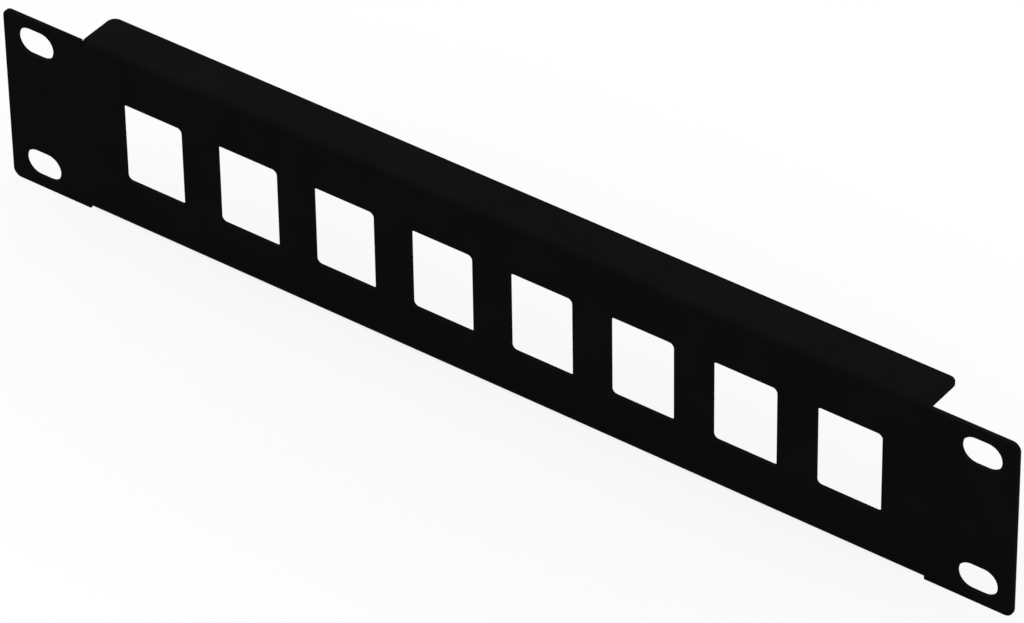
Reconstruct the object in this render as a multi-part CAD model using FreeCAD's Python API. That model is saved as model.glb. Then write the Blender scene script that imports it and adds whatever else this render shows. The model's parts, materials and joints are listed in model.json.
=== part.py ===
import FreeCAD, Part
import os

# Keystone patch panel for a ten-inch rack, one unit high, folded from one steel sheet.
# Millimetres. X runs along the panel, Y from its front to its back, Z up.
# The origin is the centre of the four rack slots, on the rear face of the ears.

# Rack standard
rack_hole_spacing = 236.525     # between the two columns of rack holes
rack_unit = 44.45               # height of one unit of the rack
hole_to_unit_edge = 6.35        # from the edge of a rack unit to its nearest rack hole
unit_clearance = 0.75           # how much lower than its rack unit the panel is

# Sheet and folds
sheet = 1.0                     # thickness
bend_inner_radius = 0.7
flange_depth = 11.0             # from the front face to the rear edge of each flange
flange_corner_radius = 2.0      # rounding of the flanges' rear corners
relief_width = 0.2              # cut that frees the end of a bend from the flat ear
relief_past_bend = 0.5          # how far the cut runs on past the bend

# Ears and their slots
slot_width = 6.5                # clears an M6 rack screw
slot_travel = 3.0               # sideways play, between the centres of a slot's round ends
slot_to_ear_end = 3.75          # metal between a slot and the panel's end
slot_to_flange = 7.75           # metal between a slot and the end of the flanges
ear_corner_radius = 2.0

# Keystone ports
port_count = 8
port_pitch = 25.0
port_width = 15.6
port_height = 19.8
port_corner_radius = 1.1

# Sizes that follow from those above
panel_height = rack_unit - unit_clearance
slot_spacing_z = rack_unit - 2 * hole_to_unit_edge
slot_length = slot_width + slot_travel
flange_length = rack_hole_spacing - slot_length - 2 * slot_to_flange
panel_length = rack_hole_spacing + slot_length + 2 * slot_to_ear_end
ear_length = (panel_length - flange_length) / 2
bend_outer_radius = bend_inner_radius + sheet

# Places that follow from them
front = -sheet                  # Y of the front face; the rear face of the ears is at Y = 0
flange_rear = front + flange_depth
flange_end = flange_length / 2
top = panel_height / 2
sides = (1, -1)                 # right and left, or upper and lower

along_y = FreeCAD.Vector(0, 1, 0)
along_z = FreeCAD.Vector(0, 0, 1)


def point(x, y, z):
    return FreeCAD.Vector(x, y, z)


def line(start, end):
    return Part.LineSegment(start, end).toShape()


def arc(start, middle, end):
    return Part.Arc(start, middle, end).toShape()


def extruded(outline, length):
    """Fills a closed outline, its edges given in order, and draws it out by a vector."""
    return Part.Face(Part.Wire(outline)).extrude(length)


def runs_along(edge, axis):
    """True for a straight edge that is parallel to the axis."""
    straight = isinstance(edge.Curve, Part.Line)
    return straight and edge.Curve.Direction.isParallel(axis, FreeCAD.Base.Precision.confusion())


def rounded(shape, axis, radius, wanted):
    """Rounds the edges that run along the axis and whose middle point is wanted."""
    edges = [edge for edge in shape.Edges if runs_along(edge, axis) and wanted(edge.CenterOfMass)]
    return shape.makeFillet(radius, edges)


def section_skin(inset):
    """One skin of the folded section, from the upper flange's rear edge round to the lower one's.

    The outer skin has no inset, and the inner skin is inset by the sheet's thickness.
    """
    radius = bend_outer_radius - inset
    slant = radius / 2 ** 0.5
    centre_y = front + bend_outer_radius
    centre_z = top - bend_outer_radius
    web_y = centre_y - radius
    flange_z = centre_z + radius

    def at(y, z):
        return point(-flange_end, y, z)

    return [
        line(at(flange_rear, flange_z), at(centre_y, flange_z)),
        arc(at(centre_y, flange_z), at(centre_y - slant, centre_z + slant), at(web_y, centre_z)),
        line(at(web_y, centre_z), at(web_y, -centre_z)),
        arc(at(web_y, -centre_z), at(centre_y - slant, -centre_z - slant), at(centre_y, -flange_z)),
        line(at(centre_y, -flange_z), at(flange_rear, -flange_z)),
    ]


def flange_edge(level):
    """The rear edge of the upper (1) or the lower (-1) flange, from the outer skin to the inner one."""
    outer = point(-flange_end, flange_rear, level * top)
    inner = point(-flange_end, flange_rear, level * (top - sheet))
    return line(outer, inner)


def folded_channel():
    """The front web with its two bends and flanges, as long as the flanges are."""
    outline = section_skin(0) + [flange_edge(-1)] + section_skin(sheet)[::-1] + [flange_edge(1)]
    channel = extruded(outline, point(flange_length, 0, 0))
    return rounded(channel, along_z, flange_corner_radius, lambda middle: middle.y > flange_rear - sheet)


def ear(side):
    """A flat ear that carries the web on to the panel's end, on the right (1) or the left (-1)."""
    start = flange_end if side > 0 else -flange_end - ear_length
    plate = Part.makeBox(ear_length, sheet, panel_height, point(start, front, -top))
    return rounded(plate, along_y, ear_corner_radius, lambda middle: side * middle.x > flange_end + sheet)


def bend_relief(side, level):
    """The narrow cut between an ear and the end of the upper (1) or the lower (-1) bend."""
    depth = bend_outer_radius + relief_past_bend
    start = flange_end if side > 0 else -flange_end - relief_width
    foot = top - depth if level > 0 else -top
    return Part.makeBox(relief_width, sheet, depth, point(start, front, foot))


def rack_slot(side, level):
    """An obround slot, long across the panel."""
    radius = slot_width / 2
    left = side * rack_hole_spacing / 2 - slot_travel / 2
    right = left + slot_travel
    middle = level * slot_spacing_z / 2
    upper = middle + radius
    lower = middle - radius

    def at(x, z):
        return point(x, front, z)

    outline = [
        line(at(left, upper), at(right, upper)),
        arc(at(right, upper), at(right + radius, middle), at(right, lower)),
        line(at(right, lower), at(left, lower)),
        arc(at(left, lower), at(left - radius, middle), at(left, upper)),
    ]
    return extruded(outline, along_y * sheet)


def keystone_port(index):
    """A rectangular opening with rounded corners, halfway up the panel."""
    centre_x = (index - (port_count - 1) / 2) * port_pitch
    corner = point(centre_x - port_width / 2, front, -port_height / 2)
    opening = Part.makeBox(port_width, sheet, port_height, corner)
    return rounded(opening, along_y, port_corner_radius, lambda middle: True)


def patch_panel():
    blank = folded_channel().fuse([ear(side) for side in sides])
    reliefs = [bend_relief(side, level) for side in sides for level in sides]
    slots = [rack_slot(side, level) for side in sides for level in sides]
    ports = [keystone_port(index) for index in range(port_count)]
    return blank.cut(reliefs + slots + ports).removeSplitter().Solids[0]


os.makedirs("parts", exist_ok=True)
panel = patch_panel()
panel.exportStep("parts/patch_panel.step")
print("patch_panel: valid %s, volume %.1f mm3, %d faces" % (panel.isValid(), panel.Volume, len(panel.Faces)))
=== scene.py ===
import json
import math

import bpy
from mathutils import Matrix, Vector
from mathutils.geometry import delaunay_2d_cdt


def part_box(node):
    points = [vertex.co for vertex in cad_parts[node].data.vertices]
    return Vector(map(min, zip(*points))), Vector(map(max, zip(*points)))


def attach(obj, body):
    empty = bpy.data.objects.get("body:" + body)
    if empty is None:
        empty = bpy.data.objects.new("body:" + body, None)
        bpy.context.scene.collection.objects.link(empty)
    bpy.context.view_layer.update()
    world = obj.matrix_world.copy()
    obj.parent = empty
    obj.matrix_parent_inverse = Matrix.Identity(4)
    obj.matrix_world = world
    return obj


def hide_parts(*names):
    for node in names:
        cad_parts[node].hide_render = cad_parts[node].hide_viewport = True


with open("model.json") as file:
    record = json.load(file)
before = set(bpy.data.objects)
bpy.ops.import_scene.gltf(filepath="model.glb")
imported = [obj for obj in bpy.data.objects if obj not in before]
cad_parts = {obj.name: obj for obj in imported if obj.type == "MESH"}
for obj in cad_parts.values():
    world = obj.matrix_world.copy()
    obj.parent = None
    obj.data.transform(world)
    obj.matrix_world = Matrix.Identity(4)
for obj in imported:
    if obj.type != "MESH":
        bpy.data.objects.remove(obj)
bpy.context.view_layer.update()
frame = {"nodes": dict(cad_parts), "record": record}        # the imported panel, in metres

low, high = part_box("patch_panel")
cadPanel = frame["nodes"]["patch_panel"]
mounts = {mount["name"]: mount for mount in frame["record"]["mounts"]}
print("frame loaded:", len(mounts), "mounts")

# The panel is cut flat and then folded. The flat blank is drawn in millimetres.
mm = 0.001

foldedSheet = {
    "thickness": 1.0,
    "bendInside": 0.7,      # inner radius of both bends
    "bendSteps": 12,        # strips across a bend
    "flangeCorner": 2.0,    # rounding of the flanges' rear corners
    "earCorner": 2.0,
    "reliefLeft": 0.03,     # what the coat leaves open of the cut beside the end of a bend
    "reliefPast": 0.5,      # how far the cut runs on past the bend
    "portWidth": 15.6,
    "portHeight": 19.8,
    "portCorner": 1.1,
    "cornerSteps": 8,       # chords in a quarter turn
    "edgeSoftness": 0.2,    # rounding that the coat leaves along a cut edge
    "edgeSteps": 3,
    "weld": 0.002,          # points nearer than this are one point
    "fillSlack": 0.0002,    # the same for the fill of the flat faces
}


def readFrame(sheet):
    bendOutside = sheet["bendInside"] + sheet["thickness"]
    flangePoints = [v.co.x for v in cadPanel.data.vertices if v.co.y > high.y / 2]
    ports = [name for name in sorted(mounts) if name.startswith("keystone_port")]
    size = {
        "end": high.x / mm,
        "top": high.z / mm,
        "flangeEnd": max(flangePoints) / mm,
        "bendY": low.y / mm + bendOutside,          # middle of the bends
        "bendZ": high.z / mm - bendOutside,
        "midRadius": bendOutside - sheet["thickness"] / 2,
        "portX": [mounts[name]["pos_m"][0] / mm for name in ports],
    }
    size["bendLength"] = size["midRadius"] * math.pi / 2
    size["flangeRear"] = size["bendZ"] + size["bendLength"] + high.y / mm - size["bendY"]
    steps = range(sheet["bendSteps"] + 1)
    size["bendLines"] = [size["bendZ"] + size["bendLength"] * k / sheet["bendSteps"] for k in steps]
    return size


def roundedLoop(corners, sheet):
    # each corner is (across, up, radius), and a corner with a radius is a right angle
    loop = []
    for i, (across, up, radius) in enumerate(corners):
        corner = Vector((across, up))
        toLast = (Vector(corners[i - 1][:2]) - corner).normalized()
        toNext = (Vector(corners[(i + 1) % len(corners)][:2]) - corner).normalized()
        centre = corner + (toLast + toNext) * radius
        for k in range(sheet["cornerSteps"] + 1 if radius else 1):
            turn = math.pi / 2 * k / sheet["cornerSteps"]
            loop.append(centre - (toNext * math.cos(turn) + toLast * math.sin(turn)) * radius)
    return [p for i, p in enumerate(loop) if (p - loop[i - 1]).length > sheet["weld"]]


def blankOutline(sheet, size):
    slit = size["flangeEnd"] + sheet["reliefLeft"]
    slitFoot = size["bendZ"] - sheet["reliefPast"]
    quarter = [
        (size["end"], size["top"], sheet["earCorner"]),
        (slit, size["top"], 0),
        (slit, slitFoot, 0),
        (size["flangeEnd"], slitFoot, 0),
        *((size["flangeEnd"], line, 0) for line in size["bendLines"]),
        (size["flangeEnd"], size["flangeRear"], sheet["flangeCorner"]),
    ]
    corners = []
    for right, upper in ((1, 1), (-1, 1), (-1, -1), (1, -1)):
        inOrder = quarter if right == upper else quarter[::-1]
        corners += [(across * right, up * upper, radius) for across, up, radius in inOrder]
    return roundedLoop(corners, sheet)


def opening(x, z, width, height, radius, sheet):
    # runs the other way round than the outline, so the metal is on the left of both
    sides = ((1, 1), (1, -1), (-1, -1), (-1, 1))
    corners = [(x + right * width / 2, z + upper * height / 2, radius) for right, upper in sides]
    return roundedLoop(corners, sheet)


def blankOpenings(sheet, size):
    port = (sheet["portWidth"], sheet["portHeight"], sheet["portCorner"])
    loops = [opening(x, 0, *port, sheet) for x in size["portX"]]
    slots = mounts["rack_slots"]["dims"]
    slot = (slots["slot_length_mm"], slots["hole_r_mm"] * 2, slots["hole_r_mm"])
    for right in (-1, 1):
        for upper in (-1, 1):
            x = right * slots["spacing_x_mm"] / 2
            z = upper * slots["spacing_y_mm"] / 2
            loops.append(opening(x, z, *slot, sheet))
    return loops


def awayFromMetal(loop):
    # how each point of a loop moves when the metal grows by one all round
    moves = []
    for i, here in enumerate(loop):
        before = (here - loop[i - 1]).normalized()
        after = (loop[(i + 1) % len(loop)] - here).normalized()
        both = Vector((before.y + after.y, -before.x - after.x))
        moves.append(both / (1 + before.dot(after)))
    return moves


def edgeProfile(sheet):
    # from the front face over the soft edge to the rear face: (inset, height, tilt)
    soft = sheet["edgeSoftness"]
    half = sheet["thickness"] / 2
    tilts = [math.pi / 2 * k / sheet["edgeSteps"] for k in range(sheet["edgeSteps"] + 1)]
    front = [(soft * (1 - math.sin(t)), half - soft * (1 - math.cos(t)), t) for t in tilts]
    return front + [(inset, -height, math.pi - tilt) for inset, height, tilt in front[::-1]]


def addRim(blank, number, loop, sheet):
    # the soft cut edge along one loop; its first ring borders the front face, its last the rear one
    points = blank["points"]
    profile = edgeProfile(sheet)
    moves = awayFromMetal(loop)
    count = len(loop)
    first = len(points)
    for inset, height, tilt in profile:
        for place, move in zip(loop, moves):
            points.append((*(place - move * inset), height))
            blank["normals"].append((*(move.normalized() * math.sin(tilt)), math.cos(tilt)))
    for ring in range(len(profile) - 1):
        for i in range(count):
            a = first + ring * count + i
            b = first + ring * count + (i + 1) % count
            blank["faces"].append((a, a + count, b + count, b))
    start = len(blank["flat"])
    blank["flat"] += [Vector(points[first + i][:2]) for i in range(count)]
    blank["fixed"] += [(start + i, start + (i + 1) % count) for i in range(count)]
    blank["owner"] += [number] * count
    blank["fronts"] += range(first, first + count)
    blank["backs"] += range(len(points) - count, len(points))


def nearest(flat, x, z):
    return min(range(len(flat)), key=lambda i: (flat[i] - Vector((x, z))).length)


def addBendLines(blank, sheet, size):
    # they run right across the metal, with a point halfway between each two ports
    flat = blank["flat"]
    between = [(a + b) / 2 for a, b in zip(size["portX"], size["portX"][1:])]
    flangeEnd = size["flangeEnd"] - sheet["edgeSoftness"]
    for level in (1, -1):
        for line in size["bendLines"]:
            chain = [nearest(flat, -flangeEnd, level * line)]
            for x in between:
                chain.append(len(flat))
                flat.append(Vector((x, level * line)))
                blank["owner"].append(0)
                for side, face in ((1, blank["fronts"]), (-1, blank["backs"])):
                    face.append(len(blank["points"]))
                    blank["points"].append((x, level * line, side * sheet["thickness"] / 2))
                    blank["normals"].append((0, 0, side))
            chain.append(nearest(flat, flangeEnd, level * line))
            blank["fixed"] += zip(chain, chain[1:])


def fillFlat(blank, sheet):
    insideOnly = 1          # no triangles outside the outline
    filled = delaunay_2d_cdt(blank["flat"], blank["fixed"], [], insideOnly, sheet["fillSlack"])
    corners, source = filled[2:4]
    triangles = [[source[c][0] for c in three] for three in corners]
    # a triangle with all its corners on one opening's edge lies in that opening
    owner = blank["owner"]
    return [t for t in triangles if len({owner[c] for c in t}) > 1 or owner[t[0]] == 0]


def cutBlank(sheet, size):
    blank = {
        "points": [],       # (across, up, height over the sheet's middle)
        "normals": [],
        "faces": [],
        "flat": [],         # points of the faces to fill, seen flat
        "fixed": [],        # lines that the fill keeps
        "owner": [],        # loop that each of those points lies on; 0 is the outline
        "fronts": [],       # the same points on the front face
        "backs": [],        # and on the rear face
    }
    for number, loop in enumerate([blankOutline(sheet, size)] + blankOpenings(sheet, size)):
        addRim(blank, number, loop, sheet)
    addBendLines(blank, sheet, size)
    for corners in fillFlat(blank, sheet):
        blank["faces"].append([blank["fronts"][c] for c in corners])
        blank["faces"].append([blank["backs"][c] for c in corners[::-1]])
    return blank


def foldAt(across, up, sheet, size):
    # where the sheet's middle goes, with the way up it and the way out of its front
    level = math.copysign(1, up)
    past = abs(up) - size["bendZ"]
    onFlange = abs(across) < size["flangeEnd"] + sheet["reliefLeft"] / 2
    arc = min(max(past, 0), size["bendLength"]) if onFlange else 0
    back = max(past - size["bendLength"], 0) if onFlange else 0
    turn = arc / size["midRadius"]
    out = Vector((0, -math.cos(turn), level * math.sin(turn)))
    along = Vector((0, level * math.sin(turn), math.cos(turn)))
    centre = Vector((across, size["bendY"] + back, level * (abs(up) - arc - back)))
    return centre + out * size["midRadius"], along, out


def addPanel(sheet):
    size = readFrame(sheet)
    blank = cutBlank(sheet, size)
    folded, facing, rounding = [], [], []
    for (across, up, proud), (sideways, upwards, outwards) in zip(blank["points"], blank["normals"]):
        middle, along, out = foldAt(across, up, sheet, size)
        folded.append((middle + out * proud) * mm)
        facing.append(Vector((sideways, 0, 0)) + along * upwards + out * outwards)
        rounding.append(2 * math.hypot(sideways, upwards) * abs(outwards))
    mesh = bpy.data.meshes.new("folded_panel")
    mesh.from_pydata(folded, [], blank["faces"])
    mesh.shade_smooth()
    mesh.normals_split_custom_set_from_vertices(facing)
    # most where a cut edge rounds over, and 0 on the faces and on the cut itself
    arris = mesh.attributes.new("arris", "FLOAT", "POINT")
    arris.data.foreach_set("value", rounding)
    panel = bpy.data.objects.new("folded_panel", mesh)
    bpy.context.scene.collection.objects.link(panel)
    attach(panel, "root")
    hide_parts("patch_panel")
    return panel


panel = addPanel(foldedSheet)
print("panel cut and folded:", len(panel.data.polygons), "faces")

blackCoat = {
    "thin": (0.0045, 0.0047, 0.0047),     # where the coat is thinnest
    "full": (0.0054, 0.0056, 0.0056),
    "drawn": (0.0106, 0.0108, 0.0109),    # where it has drawn back from a cut edge
    "cloud": (70.0, 3),     # broad drift in tone: scale per metre and detail
    "toneSpan": (0.35, 0.65),             # the drift's values for thin and full
    "grain": (2300.0, 2),   # fine sandy grain of the baked powder
    "grainHeight": 0.000022,
    "peel": (420.0, 1),     # slow orange-peel swell under it
    "peelHeight": 0.00004,
    "glossSpan": (0.3, 0.7),              # the grain's values for the two roughnesses
    "roughness": (0.52, 0.64),
    "specular": 0.005,
}


def addNode(tree, kind, **values):
    node = tree.nodes.new(kind)
    for name, value in values.items():
        if hasattr(node, name):
            setattr(node, name, value)
        else:
            node.inputs[name].default_value = value
    return node


def noise(tree, place, scale, detail):
    texture = addNode(tree, "ShaderNodeTexNoise", Scale=scale, Detail=detail)
    tree.links.new(place, texture.inputs["Vector"])
    return texture.outputs["Fac"]


def bump(tree, height, distance, under=None):
    node = addNode(tree, "ShaderNodeBump", Distance=distance)
    tree.links.new(height, node.inputs["Height"])
    if under:
        tree.links.new(under, node.inputs["Normal"])
    return node.outputs["Normal"]


def remap(tree, value, given, wanted, **values):
    node = addNode(tree, "ShaderNodeMapRange", **values)
    for name, limit in zip(("From Min", "From Max", "To Min", "To Max"), (*given, *wanted)):
        node.inputs[name].default_value = limit
    tree.links.new(value, node.inputs["Value"])
    return node.outputs["Result"]


def multiply(tree, one, other):
    node = addNode(tree, "ShaderNodeMath", operation="MULTIPLY")
    tree.links.new(one, node.inputs[0])
    tree.links.new(other, node.inputs[1])
    return node.outputs[0]


def makeBlackCoat(coat):
    material = bpy.data.materials.new("black powder coat")
    material.use_nodes = True
    tree = material.node_tree
    shader = tree.nodes["Principled BSDF"]
    shader.inputs["Specular IOR Level"].default_value = coat["specular"]
    place = addNode(tree, "ShaderNodeTexCoord").outputs["Object"]
    cloud = noise(tree, place, *coat["cloud"])
    grain = noise(tree, place, *coat["grain"])
    peel = noise(tree, place, *coat["peel"])

    tone = addNode(tree, "ShaderNodeValToRGB")
    first, last = tone.color_ramp.elements
    first.position, last.position = coat["toneSpan"]
    first.color = (*coat["thin"], 1)
    last.color = (*coat["full"], 1)
    tree.links.new(cloud, tone.inputs["Fac"])

    arris = addNode(tree, "ShaderNodeAttribute", attribute_name="arris")
    edge = addNode(tree, "ShaderNodeMix", data_type="RGBA")
    edge.inputs["B"].default_value = (*coat["drawn"], 1)
    tree.links.new(multiply(tree, arris.outputs["Fac"], peel), edge.inputs["Factor"])
    tree.links.new(tone.outputs["Color"], edge.inputs["A"])
    tree.links.new(edge.outputs["Result"], shader.inputs["Base Color"])

    gloss = remap(tree, grain, coat["glossSpan"], coat["roughness"])
    tree.links.new(gloss, shader.inputs["Roughness"])

    swell = bump(tree, peel, coat["peelHeight"])
    tree.links.new(bump(tree, grain, coat["grainHeight"], swell), shader.inputs["Normal"])
    return material


panel.data.materials.clear()
panel.data.materials.append(makeBlackCoat(blackCoat))
print("coat baked on")

paleFloor = {
    "size": 16.0,
    "gap": 0.0001,          # keeps it off the panel's underside
    "colour": (0.75, 0.75, 0.75),
    "plainWhite": 0.88,     # share of plain white near the panel; the rest takes the shadow
    "shadowShape": (0.45, 1.0, 0.0),    # the shadow's area is longer along the panel
    "shadowReach": (0.03, 0.12),        # from here outwards the floor turns to plain white
}


def seenRay(tree):
    # 1 for rays that show the background: straight, mirrored or through glass
    path = addNode(tree, "ShaderNodeLightPath")
    seen = path.outputs["Is Camera Ray"]
    for other in ("Is Glossy Ray", "Is Transmission Ray"):
        either = addNode(tree, "ShaderNodeMath", operation="MAXIMUM")
        tree.links.new(seen, either.inputs[0])
        tree.links.new(path.outputs[other], either.inputs[1])
        seen = either.outputs[0]
    return seen


def mixInto(tree, output, share, one, other):
    mixed = addNode(tree, "ShaderNodeMixShader")
    tree.links.new(share, mixed.inputs["Fac"])
    tree.links.new(one.outputs[0], mixed.inputs[1])
    tree.links.new(other.outputs[0], mixed.inputs[2])
    tree.links.new(mixed.outputs[0], tree.nodes[output].inputs["Surface"])


def makeFloorWhite(floor):
    material = bpy.data.materials.new("pale floor")
    material.use_nodes = True
    tree = material.node_tree
    tree.nodes.remove(tree.nodes["Principled BSDF"])
    matte = addNode(tree, "ShaderNodeBsdfDiffuse", Color=(*floor["colour"], 1))
    plain = addNode(tree, "ShaderNodeEmission", Strength=1.0)
    place = addNode(tree, "ShaderNodeTexCoord").outputs["Object"]
    shape = addNode(tree, "ShaderNodeVectorMath", operation="MULTIPLY")
    shape.inputs[1].default_value = floor["shadowShape"]
    tree.links.new(place, shape.inputs[0])
    away = addNode(tree, "ShaderNodeVectorMath", operation="LENGTH")
    tree.links.new(shape.outputs[0], away.inputs[0])
    whites = (floor["plainWhite"], 1.0)
    fade = remap(tree, away.outputs["Value"], floor["shadowReach"], whites, interpolation_type="SMOOTHSTEP")
    mixInto(tree, "Material Output", multiply(tree, seenRay(tree), fade), matte, plain)
    return material


def addFloor(floor):
    half = floor["size"] / 2
    corners = [(-half, -half, 0), (half, -half, 0), (half, half, 0), (-half, half, 0)]
    mesh = bpy.data.meshes.new("floor")
    mesh.from_pydata(corners, [], [(0, 1, 2, 3)])
    mesh.materials.append(makeFloorWhite(floor))
    plane = bpy.data.objects.new("floor", mesh)
    plane.location.z = low.z - floor["gap"]
    bpy.context.scene.collection.objects.link(plane)


addFloor(paleFloor)
print("floor laid")

studio = {
    "sky": 0.24,            # soft light from all round
    "softboxes": {          # place, size in metres and power in watts
        "overhead": ((-0.35, -0.12, 1.35), 1.8, 20.5),
        "rear": ((0.9, 1.5, 0.3), 0.8, 12.0),       # low, to light the inside
    },
}


def addSky(level):
    world = bpy.data.worlds.new("studio")
    world.use_nodes = True
    tree = world.node_tree
    light = tree.nodes["Background"]
    light.inputs["Color"].default_value = (1, 1, 1, 1)
    light.inputs["Strength"].default_value = level
    white = addNode(tree, "ShaderNodeBackground", Color=(1, 1, 1, 1), Strength=1.0)
    mixInto(tree, "World Output", seenRay(tree), light, white)
    bpy.context.scene.world = world


def addSoftbox(name, place, size, power):
    lamp = bpy.data.lights.new(name, "AREA")
    lamp.size = size
    lamp.energy = power
    box = bpy.data.objects.new(name, lamp)
    box.location = place
    box.rotation_euler = (-Vector(place)).to_track_quat("-Z", "Y").to_euler()       # faces the panel
    bpy.context.scene.collection.objects.link(box)


addSky(studio["sky"])
for name, (place, size, power) in studio["softboxes"].items():
    addSoftbox(name, place, size, power)
print("studio lit")

camera = {
    "azimuth": 36.69,       # degrees round to the panel's right end
    "elevation": 38.01,
    "roll": -0.96,
    "distance": 1.4282,
    "lens": 247.46,
    "aim": (0.0053, low.y, 0.0003),
}


def addCamera(shot):
    azimuth, elevation, roll = (math.radians(shot[key]) for key in ("azimuth", "elevation", "roll"))
    right = Vector((math.cos(azimuth), math.sin(azimuth), 0))
    ahead = Vector((-math.sin(azimuth) * math.cos(elevation),
                    math.cos(azimuth) * math.cos(elevation), -math.sin(elevation)))
    turn = Matrix((right, right.cross(ahead), -ahead)).transposed() @ Matrix.Rotation(roll, 3, "Z")
    place = Vector(shot["aim"]) - ahead * shot["distance"]
    lens = bpy.data.cameras.new("camera")
    lens.lens = shot["lens"]
    eye = bpy.data.objects.new("camera", lens)
    eye.matrix_world = Matrix.Translation(place) @ turn.to_4x4()
    bpy.context.scene.collection.objects.link(eye)
    bpy.context.scene.camera = eye


addCamera(camera)
bpy.context.scene.view_settings.view_transform = "Standard"
print("camera set")
